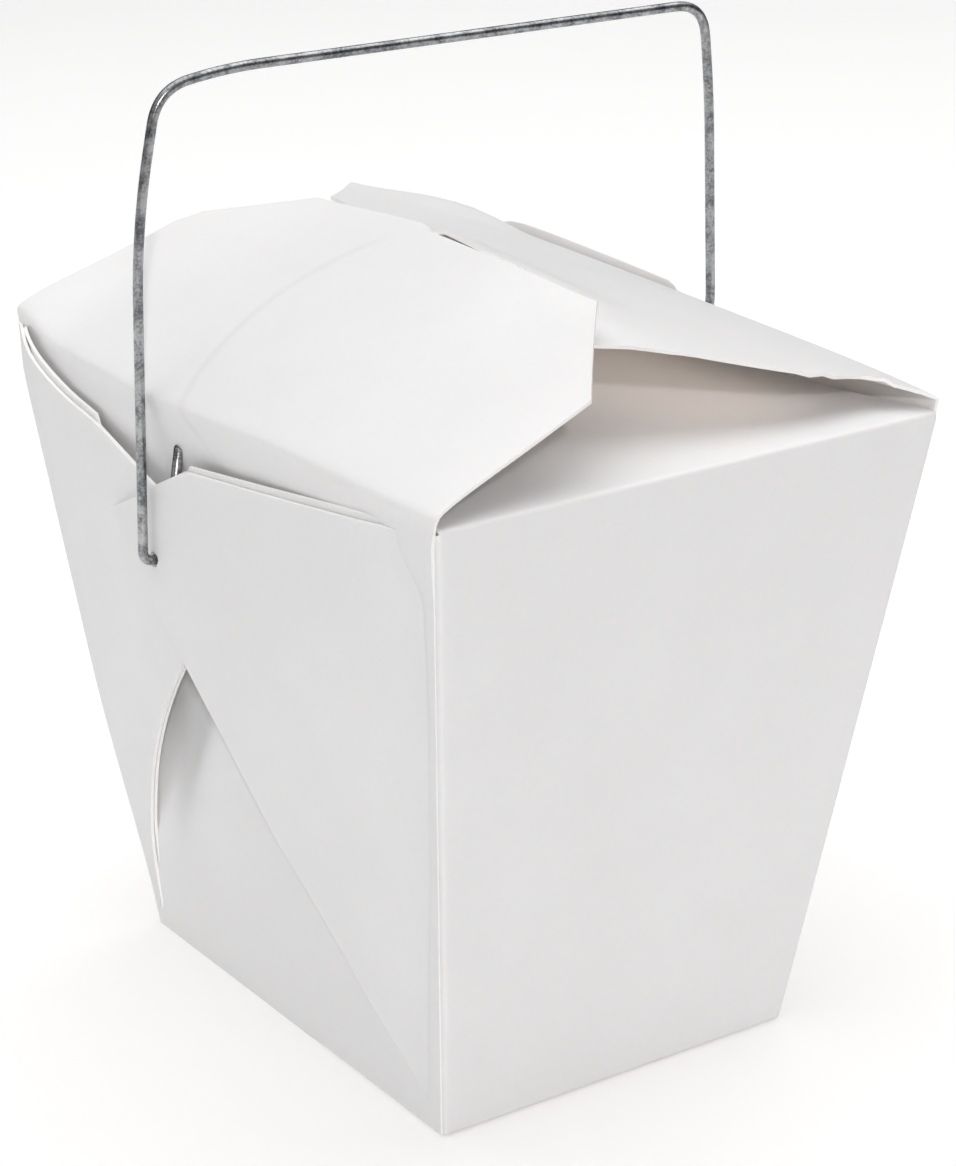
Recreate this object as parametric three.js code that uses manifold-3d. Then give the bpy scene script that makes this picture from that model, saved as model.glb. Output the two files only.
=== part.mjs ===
// A folded board takeaway pail, shut, with its wire bail standing up. Millimetres, +Z up.
// The origin is the middle of the base. The two walls that cross Y are plain; the two that
// cross X carry the folded corner webs that make the pail leak-proof, and the wire's feet.
import * as THREE from "three";
import { mergeVertices } from "three/addons/utils/BufferGeometryUtils.js";
import Module from "manifold-3d";

const wasm = await Module();
wasm.setup();

// Driving dimensions
const HEIGHT = 102;
const BASE = { x: 62.8, y: 84 };
const TOP = { x: 86.4, y: 116.8 };
const CORNER_RADIUS = 1.6;
const EDGE_ROUND = 0.6;
const BOARD = 0.5;
const DISH = 3.6;
const WIRE = 1.5;
const WEB_CELL = 8;
const FLAP_CELL = 4.6;
const WELD = 0.01;

// The crease that each gable flap turns over, and its board below the crease
const CREASE_REACH = 2.2;
const CREASE_BOW = 0.7;
const CREASE_ROUND = 1.3;
const CREASE_TUCK = 8;
const LID_WALL = 2.7;
const LEFT_CREASE_Z = 102.1;
const RIGHT_CREASE_Z = 104;

// The bail turns about a line along X through both feet
const FOOT = { x: 47, y: 14, z: 75.5 };
const HOOK = { x: 43, y: 9.2, z: 94 };
const HOOK_ROOM = 1.2;
const HOLE_RADIUS = 1.3;
const HOLE_SIDES = 16;
const POCKET_SIDES = 32;
const GAP = 0.35;
const FOOT_TURN = 1.8;
const WIRE_STEPS = 190;

// The near web stands open for the hook: shut below and at its corner, and widest at the foot
const POCKET = { span: 86, atFoot: 4, slope: 0.1157, most: 4.9, lowest: 6, rise: 62, setIn: 0.8 };
const FAR_WEB_SET_IN = 0.2;

// The hollow over the front and back flaps, as a profile of this many steps
const HOLLOW = { inset: 1.8, steps: 16, freeEdgeStep: 7 };

// The tilts of the gable flaps, in degrees; the right one is also twisted, per mm along Y
const LEFT_TILT = 22.3;
const RIGHT_TILT = { middle: 16.8, twist: 0.06 };
const TONGUE = { width: 21, endY: 5.3 };

const BOARD_WHITE = new THREE.MeshStandardMaterial({ color: 0xe9e7e5, roughness: 0.6, metalness: 0 });
const WIRE_GREY = new THREE.MeshStandardMaterial({ color: 0xa3a5a6, roughness: 0.4, metalness: 1 });

// Half widths of the tapered box at height z
const wallX = (z) => (BASE.x + (TOP.x - BASE.x) * z / HEIGHT) / 2;
const wallY = (z) => (BASE.y + (TOP.y - BASE.y) * z / HEIGHT) / 2;
const ramp = (t) => THREE.MathUtils.smoothstep(t, 0, 1);

// ---- Solids ------------------------------------------------------------------------------

// A closed three.js geometry as a solid that can be joined and cut
function solid(geometry) {
  const bare = geometry.clone();
  bare.deleteAttribute("normal");
  bare.deleteAttribute("uv");
  const merged = mergeVertices(bare, 1e-4);
  const mesh = new wasm.Mesh({
    numProp: 3,
    vertProperties: new Float32Array(merged.attributes.position.array),
    triVerts: new Uint32Array(merged.index.array),
  });
  return new wasm.Manifold(mesh);
}

// A solid as a three.js geometry with flat shading; corners that cuts left a hair apart are
// joined, and the faces that shrink to nothing by it are left out
function geometryOf(body) {
  const mesh = body.getMesh();
  const indexed = new THREE.BufferGeometry();
  indexed.setAttribute("position", new THREE.BufferAttribute(mesh.vertProperties, 3));
  indexed.setIndex(new THREE.BufferAttribute(mesh.triVerts, 1));
  const welded = mergeVertices(indexed, WELD);
  const corners = welded.index.array;
  const kept = [];
  for (let i = 0; i < corners.length; i += 3) {
    const [a, b, c] = corners.subarray(i, i + 3);
    if (a !== b && b !== c && c !== a) {
      kept.push(a, b, c);
    }
  }
  welded.setIndex(kept);
  const flat = welded.toNonIndexed();
  flat.computeVertexNormals();
  return flat;
}

// Move every corner of a solid to place(u, v, w); a mirroring place turns the faces back
function moved(body, place, mirrors) {
  const mesh = body.getMesh();
  const vertProperties = new Float32Array(mesh.vertProperties);
  const triVerts = new Uint32Array(mesh.triVerts);
  for (let i = 0; i < vertProperties.length; i += 3) {
    const corner = place(vertProperties[i], vertProperties[i + 1], vertProperties[i + 2]);
    vertProperties.set([corner.x, corner.y, corner.z], i);
  }
  if (mirrors) {
    for (let i = 0; i < triVerts.length; i += 3) {
      triVerts.subarray(i, i + 3).reverse();
    }
  }
  return new wasm.Manifold(new wasm.Mesh({ numProp: 3, vertProperties, triVerts }));
}

// A flat outline of board, cut from a grid so that it can bend, with its first face at w = 0
function sheet(outline, thickness, cell, place, mirrors) {
  const shape = new THREE.Shape(outline.map(([u, v]) => new THREE.Vector2(u, v)));
  const low = new THREE.Vector2(Infinity, Infinity);
  const high = new THREE.Vector2(-Infinity, -Infinity);
  for (const point of shape.getPoints()) {
    low.min(point);
    high.max(point);
  }
  const size = high.clone().sub(low);
  const cells = [Math.ceil(size.x / cell), Math.ceil(size.y / cell)];
  const grid = new THREE.BoxGeometry(size.x + 2, size.y + 2, thickness, cells[0], cells[1], 1);
  grid.translate((low.x + high.x) / 2, (low.y + high.y) / 2, thickness / 2);
  const cutter = new THREE.ExtrudeGeometry(shape, { depth: thickness + 2, bevelEnabled: false });
  cutter.translate(0, 0, -1);
  return moved(solid(grid).intersect(solid(cutter)), place, mirrors);
}

// A profile in Y and Z, drawn out along X from low to high
function alongX(shape, low, high) {
  const bar = new THREE.ExtrudeGeometry(shape, { depth: high - low, bevelEnabled: false, curveSegments: 10 });
  const toYZX = new THREE.Matrix4().makeBasis(
    new THREE.Vector3(0, 1, 0),
    new THREE.Vector3(0, 0, 1),
    new THREE.Vector3(1, 0, 0),
  );
  bar.applyMatrix4(toYZX);
  bar.translate(low, 0, 0);
  return solid(bar);
}

// A round plug along X about the bail's axis
function plugAtFoot(radius, fromX, toX, sides) {
  const plug = new THREE.CylinderGeometry(radius, radius, Math.abs(toX - fromX), sides);
  plug.rotateZ(Math.PI / 2);
  plug.translate((fromX + toX) / 2, FOOT.y, FOOT.z);
  return solid(plug);
}

// ---- The tapered box ---------------------------------------------------------------------

// The shut pail up to its front and back flaps, which sag a little between their folds
function pailBody() {
  const halfX = BASE.x / 2;
  const halfY = BASE.y / 2;
  const outline = new THREE.Shape();
  const turn = Math.PI / 2;
  outline.moveTo(halfX, -halfY + CORNER_RADIUS);
  outline.absarc(halfX - CORNER_RADIUS, halfY - CORNER_RADIUS, CORNER_RADIUS, 0, turn);
  outline.absarc(-halfX + CORNER_RADIUS, halfY - CORNER_RADIUS, CORNER_RADIUS, turn, 2 * turn);
  outline.absarc(-halfX + CORNER_RADIUS, -halfY + CORNER_RADIUS, CORNER_RADIUS, 2 * turn, 3 * turn);
  outline.absarc(halfX - CORNER_RADIUS, -halfY + CORNER_RADIUS, CORNER_RADIUS, 3 * turn, 4 * turn);
  const block = new THREE.ExtrudeGeometry(outline, {
    depth: HEIGHT - 2 * EDGE_ROUND,
    steps: 1,
    curveSegments: 4,
    bevelSize: EDGE_ROUND,
    bevelThickness: EDGE_ROUND,
    bevelOffset: -EDGE_ROUND,
    bevelSegments: 2,
  });
  block.translate(0, 0, EDGE_ROUND);
  const taper = (x, y, z) => new THREE.Vector3(x * wallX(z) / halfX, y * wallY(z) / halfY, z);
  return moved(solid(block), taper, false);
}

// The hollow over the front and back flaps, between the two walls that carry the gable.
// The front flap lies over the back flap, so its free edge is a step of one board.
function gableHollow() {
  const { inset, steps, freeEdgeStep } = HOLLOW;
  const reach = wallY(HEIGHT) - inset;
  const lip = HEIGHT - EDGE_ROUND / 2;
  const sag = (y) => lip - DISH * (1 - (y / reach) ** 2);
  const profile = new THREE.Shape();
  profile.moveTo(-reach, lip);
  for (let i = 1; i < steps; i += 1) {
    const y = reach * (2 * i / steps - 1);
    profile.lineTo(y, sag(y));
    if (i === freeEdgeStep) {
      profile.lineTo(y + EDGE_ROUND / 2, sag(y) - BOARD);
    }
  }
  profile.lineTo(reach, lip);
  profile.lineTo(reach + EDGE_ROUND, HEIGHT + 1);
  profile.lineTo(-reach - EDGE_ROUND, HEIGHT + 1);
  const side = wallX(HEIGHT) - LID_WALL;
  return alongX(profile, -side, side);
}

// ---- The corner webs, each two layers of board -------------------------------------------

// How far the near web stands off its wall: shut at the corner, open to the hook at its tip
function webStandOff(y, z) {
  const fromCorner = (y + wallY(z)) / POCKET.span;
  const depth = Math.min(POCKET.atFoot + (FOOT.z - z) * POCKET.slope, POCKET.most);
  const opening = ramp(2 * fromCorner) * ramp((z - POCKET.lowest) / POCKET.rise);
  return opening * depth - POCKET.setIn * (1 - ramp(5 * fromCorner));
}

const NEAR_WEB = [
  [-40, 5.2], [-25, 20.1], [-10.2, 36.8], [-0.6, 50.7], [7.2, 60.2], [20.3, 73.4], [28.7, 79],
  [17.9, 84.3], [12, 88], [4, 92.2], [-27.5, 96.6], [-45, 99], [-53.5, 99.6],
];
const FAR_WEB = [
  [39.2, 4.2], [53.5, 99.6], [51, 98], [41.5, 93.4], [31.5, 92.2], [22, 88.6], [16, 86.2],
  [-4, 77], [8, 64], [17, 54.5], [25.5, 43.5], [31.8, 33.5], [36.8, 22], [38.9, 13],
];

// side is -1 on the left wall and 1 on the right; both walls are folded alike
function cornerWebs(side) {
  const nearPlace = (y, z, w) => new THREE.Vector3(side * (wallX(z) + webStandOff(y, z) + w), y, z);
  const farPlace = (y, z, w) => new THREE.Vector3(side * (wallX(z) - FAR_WEB_SET_IN + w), y, z);
  const mirrors = side < 0;
  const near = sheet(NEAR_WEB, 2 * BOARD, WEB_CELL, nearPlace, mirrors);
  const far = sheet(FAR_WEB, 2 * BOARD, WEB_CELL, farPlace, mirrors);
  return { near, far };
}

// ---- The gable flaps ---------------------------------------------------------------------

// Place board over a crease: v runs down the wall below 0 and up the slope above it.
// slope(u) is the flap's own tilt in radians, so that a flap can be a little twisted.
function overCrease(side, creaseZ, slope) {
  const down = new THREE.Vector2(-CREASE_REACH - 2, -CREASE_TUCK).normalize();
  return (u, v, w) => {
    const up = new THREE.Vector2(-Math.cos(slope(u)), Math.sin(slope(u)));
    const s = Math.hypot(v, CREASE_ROUND);
    const point = up.clone().multiplyScalar((s + v) / 2).addScaledVector(down, (s - v) / 2);
    const along = up.clone().multiplyScalar((1 + v / s) / 2).addScaledVector(down, (v / s - 1) / 2);
    along.normalize();
    point.x += along.y * w;
    point.y -= along.x * w;
    const bow = CREASE_REACH - CREASE_BOW * (u / wallY(HEIGHT)) ** 2;
    return new THREE.Vector3(side * (wallX(HEIGHT) + bow + point.x), u, creaseZ + point.y);
  };
}

// The left flap is whole and lies on top; its outline is a hinge, two shoulders and a tip
const LEFT_FLAP = [
  [-54.5, -CREASE_TUCK], [54.5, -CREASE_TUCK], [58, 0], [57.6, 6], [54.8, 29.2], [52, 33.6],
  [34.4, 45.6], [17, 47.8], [9, 48.4], [-17.8, 47.4], [-34, 48.6], [-54.6, 30], [-57.6, 3], [-58, 0],
];
// The right flap passes a little way under the left one at its near end
const RIGHT_FLAP = [
  [54.5, -CREASE_TUCK], [-54.5, -CREASE_TUCK], [-58, 0], [-57.4, 6], [-55.2, 27.5],
  [-35.5, 48.6], [34, 48.2], [54.8, 29.2], [57.6, 6], [58, 0],
];

function gableFlaps() {
  const leftSlope = () => THREE.MathUtils.degToRad(LEFT_TILT);
  const rightSlope = (u) => THREE.MathUtils.degToRad(RIGHT_TILT.middle + RIGHT_TILT.twist * u);
  const left = sheet(LEFT_FLAP, BOARD, FLAP_CELL, overCrease(-1, LEFT_CREASE_Z, leftSlope), true);
  const right = sheet(RIGHT_FLAP, BOARD, FLAP_CELL, overCrease(1, RIGHT_CREASE_Z, rightSlope), false);
  return left.add(right);
}

// The tongue at the left flap's tip, down through the slit in the right flap
function tongue() {
  const profile = new THREE.Shape();
  profile.moveTo(-2.9, 119.2);
  profile.lineTo(4.2, 112.8);
  profile.lineTo(4.9, 113.3);
  profile.lineTo(-2.2, 119.5);
  const plate = new THREE.ExtrudeGeometry(profile, { depth: TONGUE.width, bevelEnabled: false });
  plate.rotateX(Math.PI / 2);
  plate.translate(0, TONGUE.endY, 0);
  return solid(plate);
}

// ---- The wire bail -----------------------------------------------------------------------

// Straight runs of wire with each corner turned over the distance that it is given
function bentWire(corners) {
  const path = new THREE.CurvePath();
  let start = corners[0].at.clone();
  for (let i = 1; i < corners.length - 1; i += 1) {
    const { at, turn } = corners[i];
    const into = corners[i - 1].at.clone().sub(at).normalize().multiplyScalar(turn).add(at);
    const out = corners[i + 1].at.clone().sub(at).normalize().multiplyScalar(turn).add(at);
    path.add(new THREE.LineCurve3(start, into));
    path.add(new THREE.QuadraticBezierCurve3(into, at, out));
    start = out;
  }
  path.add(new THREE.LineCurve3(start, corners[corners.length - 1].at));
  return path;
}

const at = (x, y, z, turn) => ({ at: new THREE.Vector3(x, y, z), turn });
const BAIL = [
  at(-HOOK.x, HOOK.y, HOOK.z, 0),
  at(-HOOK.x, FOOT.y, FOOT.z, FOOT_TURN),
  at(-FOOT.x, FOOT.y, FOOT.z, FOOT_TURN),
  at(-46, 14, 126, 11),
  at(-41.9, 14, 145.6, 5),
  at(-31, 13.1, 147.5, 5.5),
  at(48.9, 5.5, 148.6, 5),
  at(50.5, 5.5, 135, 8),
  at(52, 5.5, 97, 6),
  at(FOOT.x, FOOT.y, FOOT.z, FOOT_TURN),
  at(HOOK.x, FOOT.y, FOOT.z, FOOT_TURN),
  at(HOOK.x, HOOK.y, HOOK.z, 0),
];

function bail() {
  const ring = new THREE.Shape();
  ring.absarc(0, 0, WIRE / 2, 0, 2 * Math.PI);
  const path = bentWire(BAIL);
  return new THREE.ExtrudeGeometry(ring, { steps: WIRE_STEPS, curveSegments: 4, extrudePath: path });
}

// ---- The pail ----------------------------------------------------------------------------

function carton() {
  const left = cornerWebs(-1);
  const right = cornerWebs(1);
  const hookReach = Math.hypot(HOOK.z - FOOT.z, HOOK.y - FOOT.y) + HOOK_ROOM;
  const pocketFloor = HOOK.x - WIRE / 2 - GAP;
  const pocketMouth = FOOT.x;
  const box = pailBody().subtract(gableHollow()).add(left.far).add(right.far)
    .subtract(plugAtFoot(hookReach, -pocketFloor, -pocketMouth, POCKET_SIDES))
    .subtract(plugAtFoot(hookReach, pocketFloor, pocketMouth, POCKET_SIDES));
  const webs = left.near.add(right.near)
    .subtract(plugAtFoot(HOLE_RADIUS, -TOP.x, TOP.x, HOLE_SIDES));
  return geometryOf(box.add(webs).add(gableFlaps()).add(tongue()));
}

const pail = new THREE.Group();

const cartonMesh = new THREE.Mesh(carton(), BOARD_WHITE);
cartonMesh.name = "carton";
pail.add(cartonMesh);

const bailMesh = new THREE.Mesh(bail(), WIRE_GREY);
bailMesh.name = "bail";
pail.add(bailMesh);

export default pail;
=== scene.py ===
# %% [markdown]
# # A folded board takeaway pail
# One flat blank of coated board makes the whole pail: a base, four leaning walls, and a
# gable of two flaps. The corners are never cut. They fold into double webs that lie flat
# against the two end walls, which is why the pail holds soup, and a wire bail hooks
# through the webs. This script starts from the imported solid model, which fixes the size,
# and builds each panel again as a thin sheet that bends as board does.

from math import cos, exp, hypot, radians, sin

import bmesh
import bpy
from mathutils import Matrix, Vector, noise


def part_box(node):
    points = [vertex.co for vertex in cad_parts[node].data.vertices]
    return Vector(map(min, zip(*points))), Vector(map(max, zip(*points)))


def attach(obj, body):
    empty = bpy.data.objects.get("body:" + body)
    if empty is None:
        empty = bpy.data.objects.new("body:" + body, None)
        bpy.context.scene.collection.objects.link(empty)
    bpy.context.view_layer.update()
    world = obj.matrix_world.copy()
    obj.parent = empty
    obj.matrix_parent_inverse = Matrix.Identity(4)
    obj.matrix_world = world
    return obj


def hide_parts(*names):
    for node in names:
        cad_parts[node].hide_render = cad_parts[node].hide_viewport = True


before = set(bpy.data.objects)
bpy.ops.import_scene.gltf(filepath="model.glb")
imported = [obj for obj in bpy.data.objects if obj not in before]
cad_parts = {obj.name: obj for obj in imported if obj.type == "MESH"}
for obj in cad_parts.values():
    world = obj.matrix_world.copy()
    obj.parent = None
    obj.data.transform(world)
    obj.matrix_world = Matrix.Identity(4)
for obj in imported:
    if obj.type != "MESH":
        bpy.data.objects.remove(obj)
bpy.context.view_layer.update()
carton_low, carton_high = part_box("carton")
bail_low, bail_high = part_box("bail")
print("carton", [round(1000 * side, 1) for side in carton_high - carton_low], "mm")
print("bail", [round(1000 * side, 1) for side in bail_high - bail_low], "mm")

# %% [markdown]
# The measurements of the pail are kept in millimetres, as a carton maker writes them, and
# every finished mesh is scaled to metres once. The box tapers, so its half widths are
# worked out from the height. The walls lean out by the same rule from base to rim.

# %% Sizes of the pail
MM = 0.001
HEIGHT = 102.0
BASE_X, BASE_Y = 62.8, 84.0
RIM_X, RIM_Y = 86.4, 116.8
BOARD = 0.5
WIRE = 1.5
UV_SPAN = 100.0


def half_x(z):
    return (BASE_X + (RIM_X - BASE_X) * z / HEIGHT) / 2


def half_y(z):
    return (BASE_Y + (RIM_Y - BASE_Y) * z / HEIGHT) / 2


def ramp(t):
    """0 before 0, 1 past 1, and smooth between."""
    t = min(max(t, 0.0), 1.0)
    return t * t * (3 - 2 * t)


print("rim inside the frame:", half_y(HEIGHT) * MM <= carton_high.y + MM)

# %% [markdown]
# ## Bending board
# Board is cut flat and then folded. Each panel here is made the same way: its outline
# goes in as a few corners, one face fills them, and the bisect operator scores that face
# into a grid so that it has somewhere to bend. Then every corner of the grid is carried
# to its place on the folded pail. Modelling each panel in place would be quicker for one
# flat wall, but a crease that runs on into a web or a flap only stays unbroken when both
# sides come from one sheet.

# %% Cut and score a flat blank
def blank(outline, cell, extra_u=(), extra_v=()):
    """A flat sheet with this outline, scored into cells so that it can bend."""
    sheet = bmesh.new()
    corners = [sheet.verts.new((u, v, 0)) for u, v in outline]
    bmesh.ops.contextual_create(sheet, geom=corners)
    us = [u for u, v in outline]
    vs = [v for u, v in outline]
    score(sheet, Vector((1, 0, 0)), stations(min(us), max(us), cell) + list(extra_u))
    score(sheet, Vector((0, 1, 0)), stations(min(vs), max(vs), cell) + list(extra_v))
    return sheet


def stations(low, high, cell):
    count = max(1, round((high - low) / cell))
    return [low + (high - low) * i / count for i in range(1, count)]


def score(sheet, across, places):
    for place in places:
        everything = sheet.verts[:] + sheet.edges[:] + sheet.faces[:]
        bmesh.ops.bisect_plane(
            sheet, geom=everything, dist=0.02, plane_co=across * place, plane_no=across
        )


def fold(t, roundness):
    """How far a point at t lies before and past a crease at 0 with a rounded turn."""
    reach = hypot(t, roundness)
    return (reach - t) / 2, (reach + t) / 2


def crease_rows(at, spread=1.6):
    """Score lines close together on both sides of a crease, so that it turns smoothly."""
    return [at + spread * step for step in (-1, -0.5, -0.22, 0, 0.22, 0.5, 1)]


# %% Turn a bent sheet into an object with thickness
board_pieces = []


def finish_board(sheet, name, thickness=BOARD, edge=0.09):
    """The sheet is the outer face of the board, and its thickness goes inwards."""
    bmesh.ops.remove_doubles(sheet, verts=sheet.verts[:], dist=0.01)
    bmesh.ops.scale(sheet, vec=(MM, MM, MM), verts=sheet.verts[:])
    for face in sheet.faces:
        face.smooth = True
    mesh = bpy.data.meshes.new(name)
    sheet.to_mesh(mesh)
    sheet.free()
    piece = bpy.data.objects.new(name, mesh)
    bpy.context.scene.collection.objects.link(piece)
    wall = piece.modifiers.new("thickness", "SOLIDIFY")
    wall.thickness = thickness * MM
    wall.offset = -1
    wall.use_even_offset = True
    wall.material_offset_rim = 1
    soften = piece.modifiers.new("soft edge", "BEVEL")
    soften.width = edge * MM
    soften.segments = 2
    soften.limit_method = "ANGLE"
    soften.angle_limit = radians(50)
    soften.harden_normals = True
    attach(piece, "box")
    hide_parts("carton")
    board_pieces.append(piece)
    print(name, len(mesh.vertices), "vertices,", len(mesh.polygons), "faces")
    return piece


def carry(sheet, place, face_up=True):
    """Move each corner of a flat blank to its place on the folded pail."""
    flat = sheet.loops.layers.uv.new("blank")
    for face in sheet.faces:
        for loop in face.loops:
            loop[flat].uv = loop.vert.co.xy / UV_SPAN
    for corner in sheet.verts:
        corner.co = place(corner.co.x, corner.co.y)
    if not face_up:
        bmesh.ops.reverse_faces(sheet, faces=sheet.faces[:])


def waviness(point, amount=0.14, span=34.0):
    """A slow wander of a board surface that has been folded and handled."""
    return amount * noise.noise(Vector(point) / span)


# %% [markdown]
# ## The front wrap
# The front wall, the two webs that turn round its corners, its flap over the food and the
# base under it are one sheet. In the flat blank, u runs across the wall and on round the
# corners, and v runs up the wall and over the rim. Past the corner the web leaves the end
# wall like a fan that is held at the corner and open at its tip, because the wire's hook
# lies behind it.

# %% How the near webs stand off the end walls
PANEL = 40.0
CORNER_TURN = 0.5
RIM_TURN = 1.0
FOOT_TURN = 0.7
FOOT = Vector((47.0, 14.0, 75.5))
WEB_SPAN = 86.0
POCKET = 3.5
POCKET_MOST = 4.4
POCKET_RISE = 0.1157
POCKET_FROM, POCKET_FULL = 6.0, 68.0
TIP_FROM, TIP_TO = 16.0, 30.0
TIP_EASE = 0.25
LAYERS, LAYERS_FULL = 2 * BOARD, 15.0
FOLD_GAP, GAP_FROM, GAP_FULL = 0.6, 6.0, 20.0


def rise(value, low, high):
    """0 at low, 1 at high, and smooth between."""
    return ramp((value - low) / (high - low))


def near_stand_off(past, z):
    """From the end wall to the inner face of the near web."""
    pocket = min(POCKET + (FOOT.z - z) * POCKET_RISE, POCKET_MOST)
    tip = 1 - TIP_EASE * rise(past - half_y(z), TIP_FROM, TIP_TO)
    return ramp(2 * past / WEB_SPAN) * rise(z, POCKET_FROM, POCKET_FULL) * pocket * tip


def near_web_face(past, z):
    """From the plane of the end wall to the outside of the near web."""
    layers = LAYERS * rise(past, 0, LAYERS_FULL) + FOLD_GAP * rise(past, GAP_FROM, GAP_FULL)
    return near_stand_off(past, z) + layers


print("the web stands off", round(near_stand_off(WEB_SPAN / 2, FOOT.z), 2), "mm at the hook")


# %% [markdown]
# The front wall folds over the food as a flat flap, which sags a little in its middle. A
# straight flap would be simpler, but the line where it meets the gable would be too
# straight. The same rule places any point of the blank: below the rim, over the rim, or
# round a corner.

# %% The front and back flaps over the food
FLAP_SAG = 3.6
FLAP_REACH = 56.6
FLAP_DROP_OVER = 6.0
CORNER_CALM, EDGE_CALM, FLAP_CALM = 12.0, 10.0, 8.0


def sag(inward):
    return FLAP_SAG * (1 - ((FLAP_REACH - inward) / FLAP_REACH) ** 2)


def wrap_place(side, web_face, flap_drop=0.0):
    """Where a point of the front (side -1) or back (side 1) blank ends up."""

    def place(u, v):
        if v > HEIGHT / 2:
            below, inward = fold(v - HEIGHT, RIM_TURN)
            z = HEIGHT - below
            drop = sag(inward) + flap_drop * ramp(inward / FLAP_DROP_OVER)
        else:
            inward, z = fold(v, FOOT_TURN)
            drop = 0.0
        hand = 1 if u > 0 else -1
        short = abs(u) - PANEL
        if short < 0:
            short *= half_x(z) / PANEL
        before, past = fold(short, CORNER_TURN)
        x = hand * (half_x(z) - before + web_face(past, z))
        y = side * (half_y(z) - inward - past)
        wave = waviness((x, y, z)) * ramp(before / CORNER_CALM) * ramp(z / EDGE_CALM)
        y += side * wave * ramp((HEIGHT - z) / EDGE_CALM)
        return Vector((x, y, z - drop + wave * ramp(inward / FLAP_CALM)))

    return place


# %% Cut the front blank
NEAR_FOLD = [
    (-34.1, 10.7), (-25, 20.1), (-10.2, 36.8), (-0.6, 50.7),
    (7.2, 60.2), (15.1, 68.6), (20.3, 73.2), (28.7, 79.0),
]
NEAR_TOP = [(17.9, 84.4), (12, 88), (4, 92.2), (-27.5, 96.6), (-45, 99), (-53.5, 99.9)]
FLAP_TAPER = [(0.5, 2), (3.5, 60), (7, 64)]
BACK_TAPER = [(0.5, 2), (3.5, 72), (7, 76)]
CELL = 3.0


def web_u(depth, z):
    """Blank position of a web point that lies this far along y from the middle."""
    return PANEL + depth + half_y(z)


def both_hands(half):
    """An outline from its right half, listed upwards from the bottom."""
    return half + [(-u, v) for u, v in reversed(half)]


def flap_side(taper):
    """The right side of a flap over the rim: how far in, and how far past the rim."""
    notch = [(PANEL - 0.2, HEIGHT - 0.6)]
    return notch + [(PANEL - inset, HEIGHT + past) for inset, past in taper]


front_half = [(PANEL, -BASE_Y + 0.4), (PANEL, 0.2)]
front_half += [(web_u(y, z), z) for y, z in NEAR_FOLD + NEAR_TOP]
front_half += flap_side(FLAP_TAPER)
corner_lines = crease_rows(PANEL) + crease_rows(-PANEL)
rim_and_foot = crease_rows(HEIGHT) + crease_rows(0)
front_sheet = blank(both_hands(front_half), CELL, corner_lines, rim_and_foot)
print("front blank", len(front_sheet.faces), "cells")

# %% [markdown]
# The wire's foot goes through a punched hole in the web. A boolean cut through the folded
# sheet would leave slivers, so the hole is made in the flat blank: score lines mark a
# small square, the cells inside it are taken out, and its edge is moved out to a circle.

# %% Punch the holes for the wire
HOLE = 1.3


def punch(sheet, u, v, radius):
    score(sheet, Vector((1, 0, 0)), [u - radius, u + radius])
    score(sheet, Vector((0, 1, 0)), [v - radius, v + radius])
    inside = [
        face for face in sheet.faces
        if abs(face.calc_center_median().x - u) < radius
        and abs(face.calc_center_median().y - v) < radius
    ]
    bmesh.ops.delete(sheet, geom=inside, context="FACES")
    middle, near = Vector((u, v, 0)), radius + 0.1
    for vert in sheet.verts:
        out = vert.co - middle
        if vert.is_boundary and abs(out.x) < near and abs(out.y) < near:
            vert.co = middle + out.normalized() * radius


for hand in (1, -1):
    punch(front_sheet, hand * web_u(FOOT.y, FOOT.z), FOOT.z, HOLE)
carry(front_sheet, wrap_place(-1, near_web_face), face_up=False)
finish_board(front_sheet, "front_wrap")

# %% [markdown]
# ## The back wrap
# The back wall is folded in the same way, and its webs go on first, so they lie almost
# flat on the end walls. Their folded edge is not straight: the board springs away from
# the wall and bows out in a long curve.

# %% Outline of the far webs
FAR_FOLD = [
    (39.2, 4.2), (38.9, 13), (36.8, 22), (31.8, 33.5), (25.5, 43.5), (17, 54.5), (8, 64),
]


def eased(points, rounds=2):
    """The same line with its corners cut away, again and again, until it is a soft curve."""
    for _ in range(rounds):
        cut = [points[0]]
        for (x0, y0), (x1, y1) in zip(points, points[1:]):
            cut.append((0.75 * x0 + 0.25 * x1, 0.75 * y0 + 0.25 * y1))
            cut.append((0.25 * x0 + 0.75 * x1, 0.25 * y0 + 0.75 * y1))
        points = cut + [points[-1]]
    return points


FAR_TOP = [(15, 86.6), (22, 88.8), (31.2, 92.0), (41, 93.4), (49.5, 96.4), (53.6, 100.2)]
FAR_WEB = eased(FAR_FOLD) + [(-4, 77)] + eased(FAR_TOP)
print("far web", len(FAR_WEB), "corners")

# %% Cut and fold the back blank
FAR_LIFT = 2.0
LIFT_FROM, LIFT_FULL = 8.0, 58.0
SWELL, SWELL_FULL = 1.6, 45.0
SWELL_EASE, EASE_FROM, EASE_FULL = 0.6, 92.0, 101.0
SWELL_TURN = 7.0
FAR_LAYERS = 1.6 * BOARD


def far_web_face(past, z):
    """From the plane of the end wall to the outside of the far web, which springs open."""
    swell = SWELL * ramp(z / SWELL_FULL) * (1 - SWELL_EASE * rise(z, EASE_FROM, EASE_FULL))
    full = FAR_LAYERS + FAR_LIFT * rise(z, LIFT_FROM, LIFT_FULL)
    return swell + (full - swell) * ramp(past / SWELL_TURN)


back_half = [(PANEL, 0.4)]
back_half += [(web_u(-y, z), z) for y, z in FAR_WEB]
back_half += flap_side(BACK_TAPER)
back_sheet = blank(both_hands(back_half), CELL, corner_lines, crease_rows(HEIGHT))
carry(back_sheet, wrap_place(1, far_web_face, flap_drop=BOARD + 0.1))
finish_board(back_sheet, "back_wrap")

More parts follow.
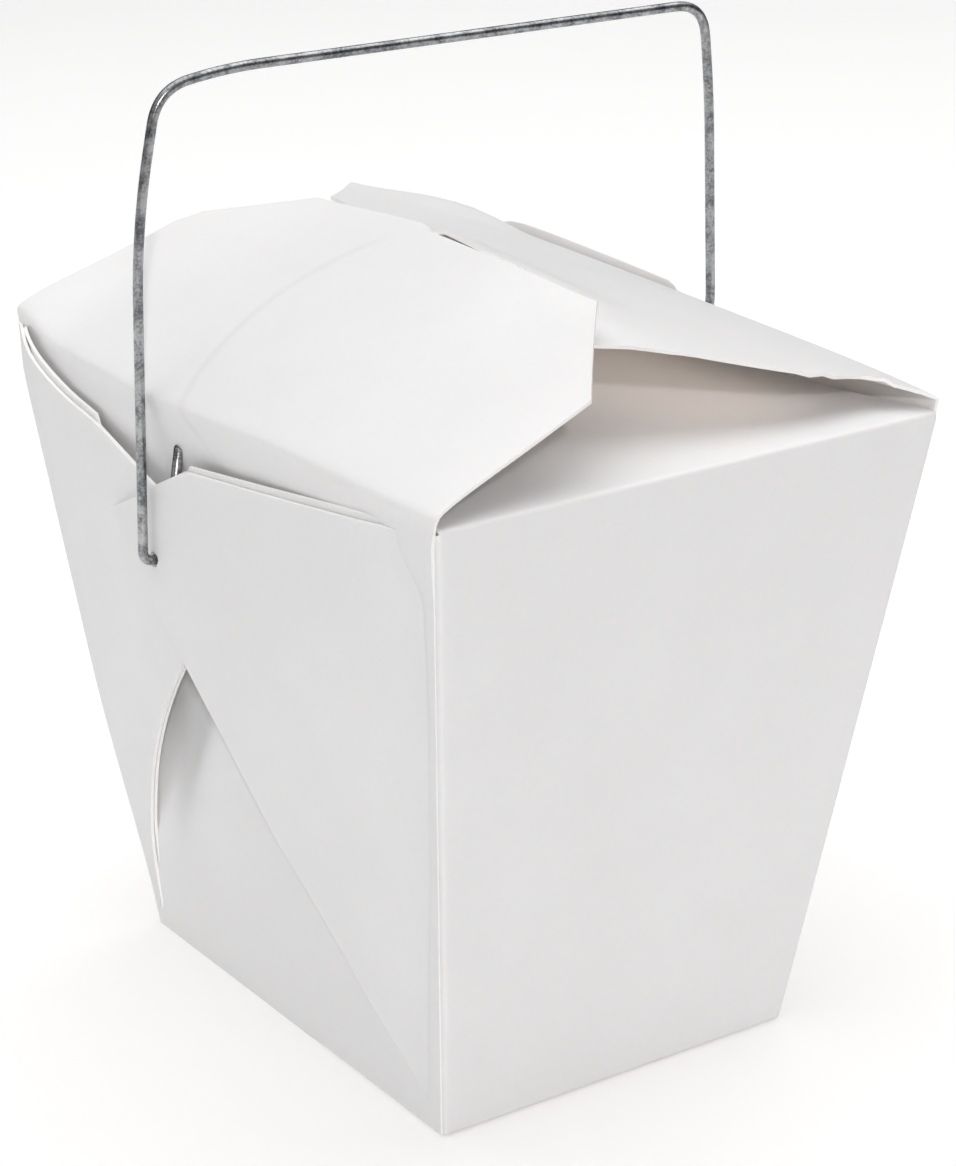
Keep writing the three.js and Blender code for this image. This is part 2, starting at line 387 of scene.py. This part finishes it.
# %% [markdown]
# ## The linings of the webs
# A web is double: the board turns back on itself at the slanting fold. The inner layer
# is cut a little taller, so two raw edges show along the top of each web, one just behind
# the other. The layers are separate sheets here, laid a hair apart.

# %% Outlines of the inner layers
NEAR_LINING = [(-40.5, 4.4)] + [(y - 0.1, z + 0.3) for y, z in NEAR_FOLD]
NEAR_LINING += [(17.8, 83.8), (12, 87.3), (4.6, 91.0)]
NEAR_LINING += eased([(3.6, 93.0), (-27.5, 97.6), (-45, 100.0), (-54.5, 100.9)])
NEAR_LINING += [(-56.5, 100.6)]
far_fold = [(y - 0.3, z + 0.2) for y, z in eased(FAR_FOLD)] + [(-3.2, 77)]
FAR_LINING = far_fold + [(15, 85.6), (22, 88.1), (31.4, 91.2)]
FAR_LINING += eased([(32.0, 93.0), (41, 94.6), (49.2, 97.6), (53.0, 101.0)]) + [(56.5, 100.6)]
PROUD_LINING = far_fold + [(4.6, 88), (5.4, 102.6), (6.9, 103.9), (8.4, 104.5)]
PROUD_LINING += eased([(20, 104.7), (40, 104.9), (52, 104.6), (57, 102.2)])
print("inner layers", len(NEAR_LINING), len(FAR_LINING), len(PROUD_LINING), "corners")

# %% Lay the inner layer behind each web
LAYER_GAP = 0.08
CORNER_SLACK, SLACK_OVER = 0.5, 6.0
PROUD_REACH, PROUD_FROM, PROUD_FULL = 3.0, 90.0, 98.0


def lining_place(hand, side, web_face):
    """Places an inner layer; the far right one stands proud of the rim behind the flap."""

    def place(y, z):
        past = max(half_y(z) - side * y, 0.0)
        wall_z = min(z, HEIGHT)
        slack = CORNER_SLACK * (1 - ramp(past / SLACK_OVER))
        x = half_x(wall_z) + web_face(past, wall_z) - BOARD - LAYER_GAP - slack
        if hand > 0 and side > 0:
            x += (half_x(HEIGHT) + PROUD_REACH - x) * rise(z, PROUD_FROM, PROUD_FULL)
        return Vector((hand * x, y, z))

    return place


for side_name, side, outline, web_face in (
    ("near", -1, NEAR_LINING, near_web_face),
    ("far", 1, FAR_LINING, far_web_face),
):
    for hand_name, hand in (("left", -1), ("right", 1)):
        shape = PROUD_LINING if hand > 0 and side > 0 else outline
        lining = blank(shape, CELL)
        if side < 0:
            punch(lining, FOOT.y, FOOT.z, HOLE)
        carry(lining, lining_place(hand, side, web_face))
        lining.normal_update()
        outward = sum(face.normal.x * face.calc_area() for face in lining.faces) * hand
        if outward < 0:
            bmesh.ops.reverse_faces(lining, faces=lining.faces[:])
        finish_board(lining, f"{side_name}_web_lining_{hand_name}")

# %% [markdown]
# ## The end walls and the gable
# Each end wall runs up to a crease and over into a gable flap. The wall is pushed out a
# little below the crease by the board that turns over it. The left flap lies on top, and
# the right flap passes a little way under its near end, so it is also twisted.

# %% How far the end wall dives in
RECESS = 3.6
RECESS_LOW, RECESS_FULL = 8.0, 38.0
RECESS_EASE, RECESS_TOP = 66.0, 80.0
FOLD_REACH = 13.0
CORNER_FREE, CORNER_OVER = 16.0, 12.0


def fold_edge(z):
    """Where the curved fold of the far web is at this height."""
    for (y0, z0), (y1, z1) in zip(FAR_FOLD, FAR_FOLD[1:]):
        if z < z1:
            return y0 + (y1 - y0) * (z - z0) / (z1 - z0)
    return FAR_FOLD[-1][0]


def recess(u, z):
    """The end wall dives in under the far web, because the web's fold pulls it."""
    depth = RECESS * rise(z, RECESS_LOW, RECESS_FULL) * (1 - rise(z, RECESS_EASE, RECESS_TOP))
    near_fold = 1 - ramp((fold_edge(z) - u - 0.5) / FOLD_REACH)
    return depth * near_fold * (1 - ramp((u - half_y(z) + CORNER_FREE) / CORNER_OVER))


print("deepest", round(max(recess(u, 50) for u in range(0, 40)), 2), "mm")

# %% Carry an end panel over its crease
CREASE_TURN = 0.9
CREASE_LEAN, LEAN_LOST, LEAN_SPAN = 14.0, 9.0, 56.0
CREASE_BOW = 1.7
WALL_INSET = 0.35
SHOVED, SHOVED_DEPTH, SHOVED_OVER = 0.45, 14.0, 9.0
NOTCH_FROM, NOTCH_TO, NOTCH_SOFT = -6.0, 24.0, 8.0
DIP_OVER = 28.0
PANEL_WAVE, PANEL_SPAN, PANEL_CALM = 0.2, 26.0, 8.0
crease_out = carton_high.x / MM - half_x(HEIGHT)
print("crease stands", round(crease_out, 2), "mm outside the rim")


def shoved_out(u, before):
    """The web's top edge shoves the wall out under the crease, except at the hook's notch."""
    notch = ramp((u - NOTCH_FROM) / NOTCH_SOFT) * ramp((NOTCH_TO - u) / NOTCH_SOFT)
    return SHOVED * ramp((SHOVED_DEPTH - before) / SHOVED_OVER) * (1 - notch)


def end_place(hand, crease_z, slope, dip, shape):
    """Places a blank of end wall and gable flap; dip(u) lowers the crease where it sags."""

    def place(u, v):
        before, past = fold(v, CREASE_TURN)
        bow = crease_out - 0.05 - CREASE_BOW * (u / half_y(HEIGHT)) ** 4
        lean_from = CREASE_LEAN - LEAN_LOST * (u / LEAN_SPAN) ** 2
        lean = max(max(0.0, 1 - before / lean_from) ** 2, shoved_out(u, before))
        z = crease_z - before - dip(u) * (1 - before / crease_z) * (1 - ramp(v / DIP_OVER))
        x = half_x(min(z, HEIGHT)) - WALL_INSET + (bow + WALL_INSET) * lean - recess(u, z)
        tilt = radians(slope(u))
        x -= past * cos(tilt)
        z += past * sin(tilt)
        wave = waviness((x, u, z), PANEL_WAVE, PANEL_SPAN) * ramp(abs(v) / PANEL_CALM)
        point = Vector((x + wave * sin(tilt), u, z + wave * cos(tilt) * ramp(v / 8)))
        point += shape(u, v)
        return Vector((hand * point.x, point.y, point.z))

    return place


# %% Cut an end panel
PANEL_CELL = 2.4
SHOULDER_Z = 98.0
EDGE_ROOM = 0.9


def end_blank(crease_z, shoulder, flap, extra_rows=()):
    """The outline of an end wall, narrowing to the base, with its flap above the crease."""
    foot, top = half_y(0) - EDGE_ROOM, half_y(SHOULDER_Z) - EDGE_ROOM
    outline = [(-foot, -crease_z + 0.3), (foot, -crease_z + 0.3), (top, -shoulder)]
    outline += flap + [(-top, -shoulder)]
    return blank(outline, PANEL_CELL, (), crease_rows(0) + list(extra_rows))


# %% Left flap, on top
LEFT_FLAP = [
    (58, 0), (57.6, 6), (54.8, 29.2), (52, 33.6), (34.4, 45.6), (17, 47.8), (9, 48.4),
    (7.6, 48.2), (6.0, 48.1), (5.2, 52.0), (-15.6, 52.0), (-16.4, 47.7), (-18.1, 47.6),
    (-34, 48.6), (-54.6, 30), (-57.6, 3), (-58, 0),
]
LEFT_CREASE_Z = 102.1
LEFT_SLOPE = 22.3
END_RISE, MIDDLE_DIP = 1.3, 2.4
TONGUE_FROM, TONGUE_BEND = 47.0, 1.6
TONGUE_NEAR, TONGUE_FAR, TONGUE_SOFT = -16.4, 6.0, 0.6
TIP_DROOP = 1.5
ARC_MIDDLE, ARC_RADIUS = Vector((-23.5, 26.4)), 38.8
ARC_TURN, BEYOND_ARC, ARC_FADE = 1.2, 0.3, 8.0


def left_dip(u):
    """The crease is high at both ends and sags between them, more towards the back."""
    return MIDDLE_DIP * rise(-u, -58, -43) * rise(u, -30, 18) - END_RISE


def left_shape(u, v):
    """The tongue turns down, and the tip droops near its corner and beyond the pressed arc."""
    from_arc = (Vector((u, v)) - ARC_MIDDLE).length - ARC_RADIUS
    outside = fold(from_arc, ARC_TURN)[1] * rise(u, -10, 10)
    in_tongue = ramp((u - TONGUE_NEAR) / TONGUE_SOFT) * ramp((TONGUE_FAR - u) / TONGUE_SOFT)
    tongue = TONGUE_BEND * max(v - TONGUE_FROM, 0.0) * in_tongue
    droop = TIP_DROOP * rise(v, 22, 48) * rise(-u, 12, 36)
    return Vector((0, 0, -tongue - droop - BEYOND_ARC * (1 - exp(-outside / ARC_FADE))))


left_sheet = end_blank(LEFT_CREASE_Z, 4.0, LEFT_FLAP, [TONGUE_FROM, TONGUE_FROM + 0.6])
left_place = end_place(-1, LEFT_CREASE_Z, lambda u: LEFT_SLOPE, left_dip, left_shape)
carry(left_sheet, left_place, face_up=False)
left_panel = finish_board(left_sheet, "left_panel")

# %% Right flap, below
RIGHT_FLAP = [
    (58, 0), (57.6, 6), (54.4, 29.6), (34, 48.2), (8.4, 48.3), (8.0, 47.0), (-18.0, 47.0),
    (-18.4, 48.4), (-35.5, 55.5), (-37.3, 50.2), (-38.4, 46.9), (-39.6, 44.4), (-43.2, 40.0),
    (-45.6, 34.1), (-48.1, 27.1), (-50.3, 20.1), (-50.5, 15.0), (-50.3, 9.7), (-51.9, 6.2),
    (-55, 3.6), (-57.6, 1.2), (-58, 0),
]
RIGHT_CREASE_Z = 104.0
RIGHT_SLOPE, RIGHT_TWIST = 16.8, 0.06
LIP_LIFT = 3.2
CRUSH, CRUSH_GRAIN = 0.9, 2.6
FAR_END_SPRUNG = 1.6
TUCK = 2.2


def right_shape(u, v):
    """The tongue props up the lip of the slit, and the near end is crushed at its crease."""
    lip = LIP_LIFT * rise(v, 28, 47) * rise(u, -26, -17) * rise(-u, -11, -2)
    crush = rise(-u, 44, 52) * rise(v, 0, 5) * rise(-v, -24, -14)
    ragged = CRUSH * noise.noise(Vector((u, v, 3.0)) / CRUSH_GRAIN)
    sprung = FAR_END_SPRUNG * rise(u, 40, 54) * rise(v, -1, 4) * (1 - 0.6 * rise(v, 8, 28))
    tucked = TUCK * rise(v, 36, 54) * rise(-u, 24, 36)
    return Vector((0, 0, lip + crush * ragged + sprung - tucked))


right_sheet = end_blank(RIGHT_CREASE_Z, 6.0, RIGHT_FLAP)
right_place = end_place(
    1, RIGHT_CREASE_Z, lambda u: RIGHT_SLOPE + RIGHT_TWIST * u, lambda u: 0.0, right_shape
)
carry(right_sheet, right_place)
finish_board(right_sheet, "right_panel")

# %% [markdown]
# ## The wire bail
# The bail is one length of galvanised wire. It is drawn as a path of straight runs with
# each corner turned over a given distance, swept with a round section, and its two cut
# ends are rounded. A curve is the natural start, because a curve keeps the section
# upright along the bends; it is then made a mesh.

# %% Path of the wire
BAIL = [
    (-43, 9.2, 94, 0), (-43, 14, 75.5, 1.8), (-47, 14, 75.5, 1.8), (-46, 14, 126, 11),
    (-41.9, 14, 145.6, 5), (-31, 13.1, 147.5, 5.5), (48.9, 5.5, 148.6, 5), (50.5, 5.5, 135, 8),
    (52.0, 5.5, 97, 6), (47, 14, 75.5, 1.8), (43, 14, 75.5, 1.8), (43, 9.2, 94, 0),
]


def wire_path(corners, steps=12):
    """Points along the wire: straight runs, and each corner as a smooth turn."""
    points = [Vector(corners[0][:3])]
    for before, here, after in zip(corners, corners[1:], corners[2:]):
        middle = Vector(here[:3])
        start = middle + (Vector(before[:3]) - middle).normalized() * here[3]
        end = middle + (Vector(after[:3]) - middle).normalized() * here[3]
        for i in range(steps + 1):
            t = i / steps
            points.append(start.lerp(middle, t).lerp(middle.lerp(end, t), t))
    points.append(Vector(corners[-1][:3]))
    return points


# %% Sweep the wire
def swept_wire(points, name):
    curve = bpy.data.curves.new(name, "CURVE")
    curve.dimensions = "3D"
    curve.bevel_depth = WIRE / 2 * MM
    curve.bevel_resolution = 6
    curve.use_fill_caps = True
    spline = curve.splines.new("POLY")
    spline.points.add(len(points) - 1)
    for slot, point in zip(spline.points, points):
        slot.co = (*(point * MM), 1)
    shape = bpy.data.objects.new(name + "_path", curve)
    mesh = bpy.data.meshes.new_from_object(shape)
    bpy.data.objects.remove(shape)
    wire = bmesh.new()
    wire.from_mesh(mesh)
    bmesh.ops.remove_doubles(wire, verts=wire.verts[:], dist=1e-6)
    bmesh.ops.recalc_face_normals(wire, faces=wire.faces[:])
    caps = [face for face in wire.faces if len(face.verts) > 4]
    rims = [edge for face in caps for edge in face.edges]
    bmesh.ops.bevel(
        wire, geom=rims, offset=0.35 * MM, offset_type="OFFSET", segments=3,
        profile=0.5, affect="EDGES", material=-1,
    )
    for face in wire.faces:
        face.smooth = True
    wire.to_mesh(mesh)
    wire.free()
    piece = bpy.data.objects.new(name, mesh)
    bpy.context.scene.collection.objects.link(piece)
    return piece


bail_wire = swept_wire(wire_path(BAIL), "bail_wire")
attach(bail_wire, "handle")
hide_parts("bail")
print("wire", len(bail_wire.data.polygons), "faces")

# %% [markdown]
# ## Finishes
# Node setups read more easily as sums, so one small class wraps a socket: adding,
# subtracting, multiplying and dividing wrapped sockets adds the Math nodes. Any other
# node comes from one method.

# %% A small way of writing node setups
class Finish:
    """A material being made; its nodes are added by node()."""

    def __init__(self, name):
        self.material = bpy.data.materials.new(name)
        self.material.use_nodes = True
        self.tree = self.material.node_tree
        self.shader = self.tree.nodes["Principled BSDF"]

    def node(self, kind, inputs=(), output=0, **settings):
        made = self.tree.nodes.new(kind)
        for key, value in settings.items():
            setattr(made, key, value)
        for key, value in dict(inputs).items():
            self.join(value, made.inputs[key])
        return Signal(self, made.outputs[output])

    def join(self, value, socket):
        if isinstance(value, Signal):
            self.tree.links.new(value.socket, socket)
        else:
            socket.default_value = value

    def set(self, **sockets):
        for key, value in sockets.items():
            self.join(value, self.shader.inputs[key.replace("_", " ")])


class Signal:
    """One value in a node tree, which can be used in sums."""

    def __init__(self, finish, socket):
        self.finish = finish
        self.socket = socket

    def math(self, operation, *values):
        inputs = dict(enumerate(values))
        return self.finish.node("ShaderNodeMath", inputs, operation=operation)

    def __add__(self, other):
        return self.math("ADD", self, other)

    __radd__ = __add__

    def __sub__(self, other):
        return self.math("SUBTRACT", self, other)

    def __rsub__(self, other):
        return self.math("SUBTRACT", other, self)

    def __mul__(self, other):
        return self.math("MULTIPLY", self, other)

    __rmul__ = __mul__

    def __truediv__(self, other):
        return self.math("DIVIDE", self, other)

    def __rtruediv__(self, other):
        return self.math("DIVIDE", other, self)

    def between(self, low, high):
        """0 at low and below, 1 at high and above."""
        return self.finish.node(
            "ShaderNodeMapRange",
            {"Value": self, "From Min": low, "From Max": high},
            interpolation_type="SMOOTHSTEP",
        )


def speckle(finish, scale, detail=2.0):
    """Noise from 0 to 1 that is fixed to the piece; scale is cells per metre."""
    where = finish.node("ShaderNodeTexCoord", output="Object")
    return finish.node(
        "ShaderNodeTexNoise", {"Vector": where, "Scale": scale, "Detail": detail, "Roughness": 0.55}
    )


def blend(finish, amount, low, high):
    """A colour between two colours."""
    return finish.node(
        "ShaderNodeMix", {"Factor": amount, "A": low, "B": high}, data_type="RGBA", output="Result"
    )


# %% [markdown]
# ### Coated board
# The pail is bleached board with a thin coating on its outside. It reads as plain white,
# but not as paint: the coating has a faint unevenness a centimetre or two across, the
# fibres under it give a very fine grain, and it has a soft sheen. Where the board is cut,
# its uncoated core shows, a little lighter and without any sheen.

# %% White coated board
def board_finish(name, dent_and_shade=None):
    """Coated board; dent_and_shade(board) gives a soft line, 1 along the line, that is pressed in
    as a bump and painted darker as shade.
    """
    board = Finish(name)
    cloud = speckle(board, 55.0, 3.0)
    fibre = speckle(board, 1400.0, 3.0)
    tone = cloud * 0.6 + fibre * 0.4
    dent_and_shade_line = dent_and_shade(board) if dent_and_shade else None
    coat = blend(board, tone.between(0.3, 0.7), (0.86, 0.85, 0.847, 1), (0.885, 0.878, 0.876, 1))
    # Painted shade: along the arc line the colour is darkened towards a grey, standing in for the
    # line's shade.
    if dent_and_shade_line:
        coat = blend(board, dent_and_shade_line * 0.5, coat, (0.78, 0.775, 0.775, 1))
    board.set(
        Base_Color=coat,
        Roughness=fibre * 0.12 + 0.46,
        Specular_IOR_Level=0.42,
        Subsurface_Weight=0.35,
        Subsurface_Radius=(1.0, 0.82, 0.7),
        Subsurface_Scale=0.0016,
    )
    height = fibre * 0.024 + cloud * 0.012
    if dent_and_shade_line:
        height = height - dent_and_shade_line * 0.12
    bump = board.node("ShaderNodeBump", {"Height": height, "Strength": 1.0, "Distance": 0.0003})
    board.set(Normal=bump)
    return board.material


white_board = board_finish("white_board")

# %% [markdown]
# A soft curved line runs across the top flap. It could be a groove in the mesh, but it is shallower
# than the board's own waviness, so it is a slight bump and a painted shade line, darker in colour,
# that follow the flat blank's own UV map.

# %% Board of the top flap, with its soft curved line of bump and painted shade
ARC_WIDTH = 1.3


def arc_dent_and_painted_shade(board):
    """A line along part of a circle, drawn in the flat blank, with soft sides and ends; it masks
    both the bump and the painted shade.
    """
    flat = {"Vector": board.node("ShaderNodeUVMap", uv_map="blank")}
    across = board.node("ShaderNodeSeparateXYZ", flat, "X") * UV_SPAN - ARC_MIDDLE.x
    along = board.node("ShaderNodeSeparateXYZ", flat, "Y") * UV_SPAN - ARC_MIDDLE.y
    square = across * across + along * along
    reach = square.math("SQRT", square)
    off_line = reach.math("ABSOLUTE", reach - ARC_RADIUS)
    dent_and_shade_line = 1 - off_line.between(0.0, ARC_WIDTH)
    return dent_and_shade_line * across.between(20.0, 27.0) * (1 - along.between(12.0, 19.0))


lid_board_with_painted_arc_shade = board_finish("lid_board_with_painted_arc_shade", arc_dent_and_painted_shade)

# %% Cut edge of the board
core = Finish("board_core")
pulp = speckle(core, 2600.0, 4.0)
core.set(
    Base_Color=blend(core, pulp, (0.93, 0.925, 0.915, 1), (0.98, 0.98, 0.97, 1)),
    Roughness=0.9,
    Specular_IOR_Level=0.2,
)
core.set(Normal=core.node("ShaderNodeBump", {"Height": pulp, "Strength": 0.3, "Distance": 0.0001}))
for piece in board_pieces:
    piece.data.materials.append(lid_board_with_painted_arc_shade if piece == left_panel else white_board)
    piece.data.materials.append(core.material)
print(len(board_pieces), "board pieces finished")

# %% [markdown]
# ### Galvanised wire
# Zinc dulls to a mottled grey with brighter specks where the wire has been drawn and
# bent, so both the colour and the roughness wander along it.

# %% Grey wire
zinc = Finish("galvanised_wire")
patch = speckle(zinc, 420.0, 4.0)
grain = speckle(zinc, 2400.0, 2.0)
mottle = patch * 0.6 + grain * 0.4
DULL_ZINC, BRIGHT_ZINC = (0.14, 0.15, 0.16, 1), (0.50, 0.51, 0.52, 1)
drawn = zinc.node("ShaderNodeBump", {"Height": mottle, "Strength": 0.35, "Distance": 0.00012})
zinc.set(
    Base_Color=blend(zinc, mottle.between(0.35, 0.65), DULL_ZINC, BRIGHT_ZINC),
    Metallic=1.0,
    Roughness=mottle * 0.3 + 0.16,
    Normal=drawn,
)
bail_wire.data.materials.append(zinc.material)

# %% [markdown]
# ## Floor, lights and camera
# The pail stands on a plain white floor. One sun could light it, but white board on white
# needs its edges drawn by soft shade. So a small sun beside the camera gives the crisp
# edges under the flaps, and a wide light overhead, three soft boxes and a pale room fill
# in the rest.

# %% Floor
floor_mesh = bmesh.new()
bmesh.ops.create_grid(floor_mesh, x_segments=4, y_segments=4, size=3.0)
floor_data = bpy.data.meshes.new("floor")
floor_mesh.to_mesh(floor_data)
floor_mesh.free()
floor = bpy.data.objects.new("floor", floor_data)
bpy.context.scene.collection.objects.link(floor)
sweep = Finish("white_floor")
faint = speckle(sweep, 3.0)
sweep.set(
    Base_Color=blend(sweep, faint, (0.97, 0.97, 0.97, 1), (0.98, 0.98, 0.98, 1)),
    Roughness=0.9,
    Specular_IOR_Level=0.1,
    Emission_Color=(1.0, 1.0, 1.0, 1),
    Emission_Strength=0.1,
)
floor_data.materials.append(sweep.material)

# %% Lights
PAIL_MIDDLE = Vector((0.0, 0.0, 0.06))


def aimed(direction):
    """Turns a light so that it shines along this direction."""
    return Vector(direction).to_track_quat("-Z", "Y").to_euler()


def soft_box(name, place, size, watts, tint=(1.0, 1.0, 1.0)):
    """A square light of this size, turned to the pail."""
    data = bpy.data.lights.new(name, "AREA")
    data.size = size
    data.energy = watts
    data.color = tint
    lamp = bpy.data.objects.new(name, data)
    lamp.location = place
    lamp.rotation_euler = aimed(PAIL_MIDDLE - Vector(place))
    bpy.context.scene.collection.objects.link(lamp)
    return lamp


key_data = bpy.data.lights.new("key", "SUN")
key_data.energy = 1.1
key_data.angle = radians(2.2)
key_data.color = (1.0, 0.955, 0.935)
key = bpy.data.objects.new("key", key_data)
key.rotation_euler = aimed((0.442, 0.782, -0.438))
bpy.context.scene.collection.objects.link(key)
soft_box("overhead", (0.0, 0.1, 1.2), 1.6, 14.5)
soft_box("right_box", (0.9, 0.2, 0.9), 0.8, 1.6)
soft_box("front_box", (-0.2, -0.9, 0.9), 0.8, 0.6, tint=(1.0, 0.91, 0.88))
soft_box("side_box", (-1.1, 0.1, 0.6), 0.8, 1.0)

# %% [markdown]
# White board passes a little light, so the hollow under the flap glows warmly instead of
# going black. Real light paths through the sheet are slow and noisy to render. A faint
# lamp just under the flap gives the same glow, and it is hidden from the camera.

# %% Glow under the right flap
glow = soft_box("glow_under_flap", (0.021, -0.018, 0.1088), 0.026, 0.0014, tint=(1.0, 0.84, 0.72))
glow.data.shape = "RECTANGLE"
glow.data.size_y = 0.05
glow.rotation_euler = (0.0, radians(15.6), 0.0)
glow.visible_camera = False

# %% Room
room = bpy.data.worlds.new("room")
room.use_nodes = True
room.node_tree.nodes["Background"].inputs["Color"].default_value = (1.0, 1.0, 1.0, 1)
room.node_tree.nodes["Background"].inputs["Strength"].default_value = 0.1
bpy.context.scene.world = room
bpy.context.scene.view_settings.view_transform = "Standard"

# %% Camera
right = Vector((0.8227, -0.5686, 0.0)).normalized()
back = Vector((-0.5289, -0.7652, 0.3670)).normalized()
up = back.cross(right).normalized()
camera_data = bpy.data.cameras.new("camera")
camera_data.lens = 104.28
camera_data.sensor_width = 36.0
camera = bpy.data.objects.new("camera", camera_data)
turn = Matrix((right, up, back)).transposed().to_4x4()
camera.matrix_world = Matrix.Translation(Vector((-0.27048, -0.39616, 0.25544))) @ turn
bpy.context.scene.collection.objects.link(camera)
bpy.context.scene.camera = camera

# %% Finish
bpy.context.view_layer.update()
